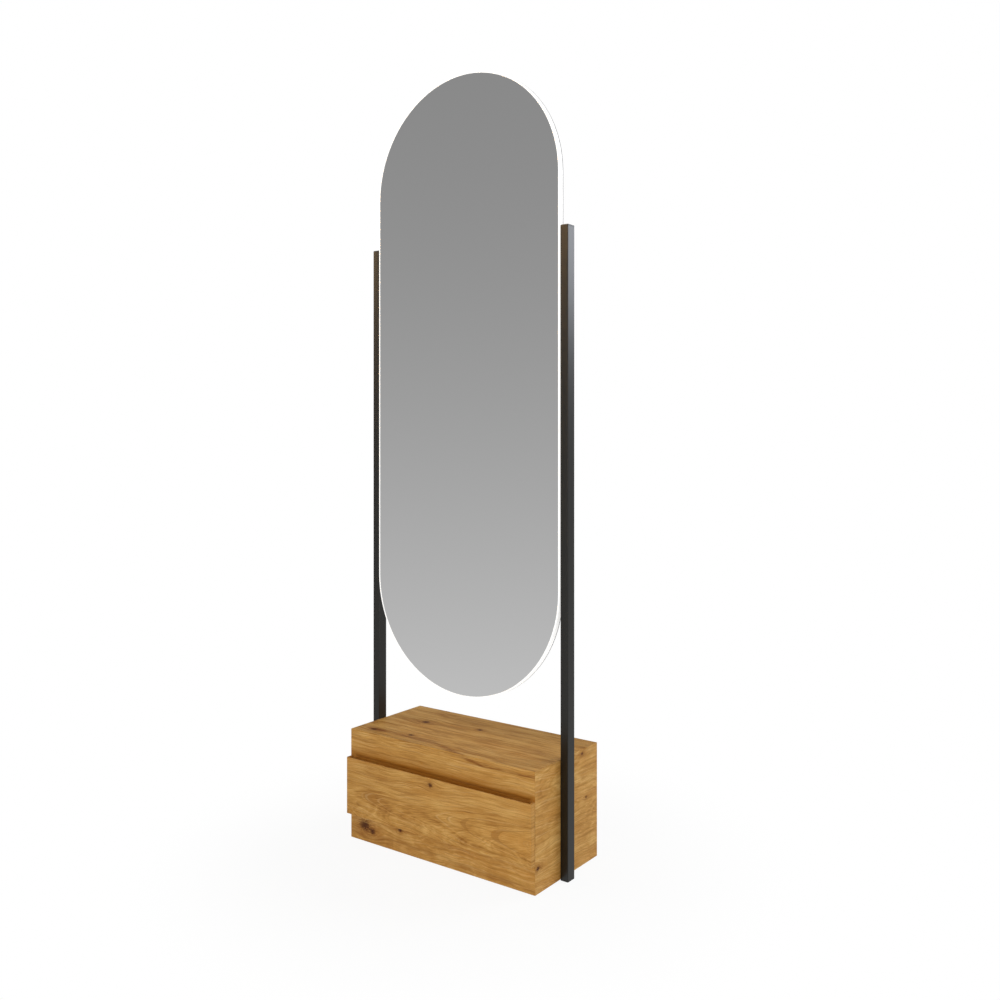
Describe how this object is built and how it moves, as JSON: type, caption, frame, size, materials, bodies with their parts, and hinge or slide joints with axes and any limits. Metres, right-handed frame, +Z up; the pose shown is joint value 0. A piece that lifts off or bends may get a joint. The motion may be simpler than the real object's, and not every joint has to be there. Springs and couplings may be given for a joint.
{
  "type": "standing mirror",
  "caption": "Full-height pill-shaped mirror with a lit rim, tilting between two black steel posts on a low oak cabinet with a finger-pull drawer.",
  "frame": {"origin": "on the floor, under the middle of the overall box", "axes": "+Z up, +X to the right of someone facing the mirror, +Y from the drawer front to the cabinet's back"},
  "size_m": [0.644, 0.3014, 2.0333],
  "materials": {
    "oak_veneer": "satin golden oak veneer with knots, grain along each board",
    "carcass_board": "plain oak-foiled board",
    "drawer_board": "plain pale oak-foiled board",
    "beech": "plain beech",
    "zinc_steel": "zinc-plated steel",
    "runner_steel": "bright zinc-plated pressed sheet",
    "black_paint": "satin black powder coat",
    "black_plastic": "matt black moulding",
    "white_nylon": "plain white nylon",
    "black_steel": "black oxide steel",
    "clear_rubber": "clear soft dots",
    "driver_case": "white moulded case",
    "silvered_glass": "silvered float glass",
    "opal_acrylic": "opal acrylic, lit from inside",
    "led_tape": "white light tape",
    "backing_fibreboard": "raw fibreboard",
    "black_cover": "satin black hardboard",
    "pivot_aluminium": "milled"
  },
  "bodies": {
    "stand": {"back_panel": "carcass_board", "back_panel_screws": "zinc_steel", "bottom_dowels": "beech", "bottom_panel": "carcass_board", "cabinet_glides": "black_plastic", "cable_grommet": "black_plastic", "friction_washers": "white_nylon", "led_driver": "driver_case", "led_driver_screws": "zinc_steel", "left_pivot_bush": "black_plastic", "left_post": "black_paint", "left_runner_outer": "runner_steel", "left_side_panel": "oak_veneer", "lower_front_rail": "oak_veneer", "mitre_splines": "beech", "pivot_caps": "black_plastic", "post_bolt_washers": "zinc_steel", "post_bolts": "zinc_steel", "post_feet": "black_plastic", "post_rivet_nuts": "zinc_steel", "post_top_caps": "black_plastic", "right_pivot_bush": "black_plastic", "right_post": "black_paint", "right_runner_outer": "runner_steel", "right_side_panel": "oak_veneer", "runner_cabinet_screws": "zinc_steel", "top_panel": "oak_veneer", "upper_front_rail": "oak_veneer"},
    "drawer": {"drawer_back": "drawer_board", "drawer_bottom": "drawer_board", "drawer_box_front": "drawer_board", "drawer_bumpers": "clear_rubber", "drawer_corner_screws": "zinc_steel", "drawer_front": "oak_veneer", "drawer_front_screws": "zinc_steel", "drawer_left_side": "drawer_board", "drawer_right_side": "drawer_board", "left_runner_inner": "runner_steel", "right_runner_inner": "runner_steel", "runner_drawer_screws": "zinc_steel"},
    "mirror": {"mirror_glass": "silvered_glass", "light_rim": "opal_acrylic", "led_strips": "led_tape", "backing_board": "backing_fibreboard", "back_cover": "black_cover", "back_cover_screws": "black_steel", "left_pivot_block": "pivot_aluminium", "right_pivot_block": "pivot_aluminium", "pivot_block_screws": "zinc_steel", "left_pivot_bolt": "black_steel", "right_pivot_bolt": "black_steel"},
    "left_outer_cage": {"left_outer_ball_cage": "runner_steel"},
    "left_middle_runner": {"left_runner_middle": "runner_steel"},
    "left_inner_cage": {"left_inner_ball_cage": "runner_steel"},
    "right_outer_cage": {"right_outer_ball_cage": "runner_steel"},
    "right_middle_runner": {"right_runner_middle": "runner_steel"},
    "right_inner_cage": {"right_inner_ball_cage": "runner_steel"}
  },
  "joints": [
    {"name": "drawer_slide", "type": "slide", "parent": "stand", "child": "drawer", "axis": [0, -1, 0], "range_m": [0, 0.25]},
    {"name": "mirror_tilt", "type": "hinge", "parent": "stand", "child": "mirror", "pos_m": [0, -0.01625, 1.238], "axis": [1, 0, 0], "range_deg": [-15, 15]},
    {"name": "left_outer_cage_slide", "type": "slide", "parent": "stand", "child": "left_outer_cage", "axis": [0, -1, 0], "range_m": [0, 0.0625]},
    {"name": "left_middle_runner_slide", "type": "slide", "parent": "stand", "child": "left_middle_runner", "axis": [0, -1, 0], "range_m": [0, 0.125]},
    {"name": "left_inner_cage_slide", "type": "slide", "parent": "stand", "child": "left_inner_cage", "axis": [0, -1, 0], "range_m": [0, 0.1875]},
    {"name": "right_outer_cage_slide", "type": "slide", "parent": "stand", "child": "right_outer_cage", "axis": [0, -1, 0], "range_m": [0, 0.0625]},
    {"name": "right_middle_runner_slide", "type": "slide", "parent": "stand", "child": "right_middle_runner", "axis": [0, -1, 0], "range_m": [0, 0.125]},
    {"name": "right_inner_cage_slide", "type": "slide", "parent": "stand", "child": "right_inner_cage", "axis": [0, -1, 0], "range_m": [0, 0.1875]}
  ],
  "couplings": [
    {"joint": "left_outer_cage_slide", "follows": "drawer_slide", "ratio": 0.25},
    {"joint": "left_middle_runner_slide", "follows": "drawer_slide", "ratio": 0.5},
    {"joint": "left_inner_cage_slide", "follows": "drawer_slide", "ratio": 0.75},
    {"joint": "right_outer_cage_slide", "follows": "drawer_slide", "ratio": 0.25},
    {"joint": "right_middle_runner_slide", "follows": "drawer_slide", "ratio": 0.5},
    {"joint": "right_inner_cage_slide", "follows": "drawer_slide", "ratio": 0.75}
  ]
}
